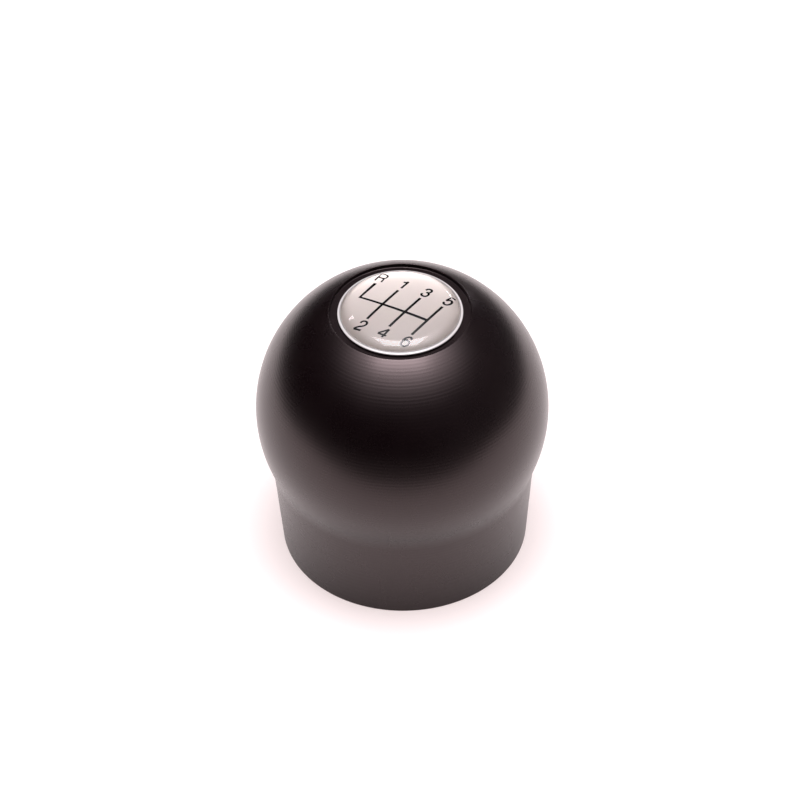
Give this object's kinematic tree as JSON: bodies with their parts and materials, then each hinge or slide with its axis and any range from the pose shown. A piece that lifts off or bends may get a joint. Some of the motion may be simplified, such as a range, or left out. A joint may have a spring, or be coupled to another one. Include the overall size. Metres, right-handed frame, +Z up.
{
  "type": "gear shift knob",
  "caption": "Black ball-shaped gear shift knob on a hollow tapered skirt, with a threaded brass insert and a clear domed badge showing a gear pattern.",
  "frame": {"origin": "middle of the skirt's foot, on the axis of the lever thread, at the level of the surface that the knob stands on", "axes": "+Z up along the lever thread towards the badge, +Y towards the side of the badge with first, third and fifth gear, +X towards the side with fifth and sixth gear"},
  "size_m": [0.05, 0.05, 0.0519],
  "materials": {
    "black_acetal": "fine turned, satin",
    "insert_brass": "machined",
    "adhesive_film": "soft, matte",
    "silver_foil": "satin with printed black lines",
    "clear_resin": "clear gloss"
  },
  "bodies": {
    "root": {"knob_body": "black_acetal", "threaded_insert": "insert_brass", "badge_adhesive": "adhesive_film", "badge_foil": "silver_foil", "badge_dome": "clear_resin"}
  },
  "joints": []
}
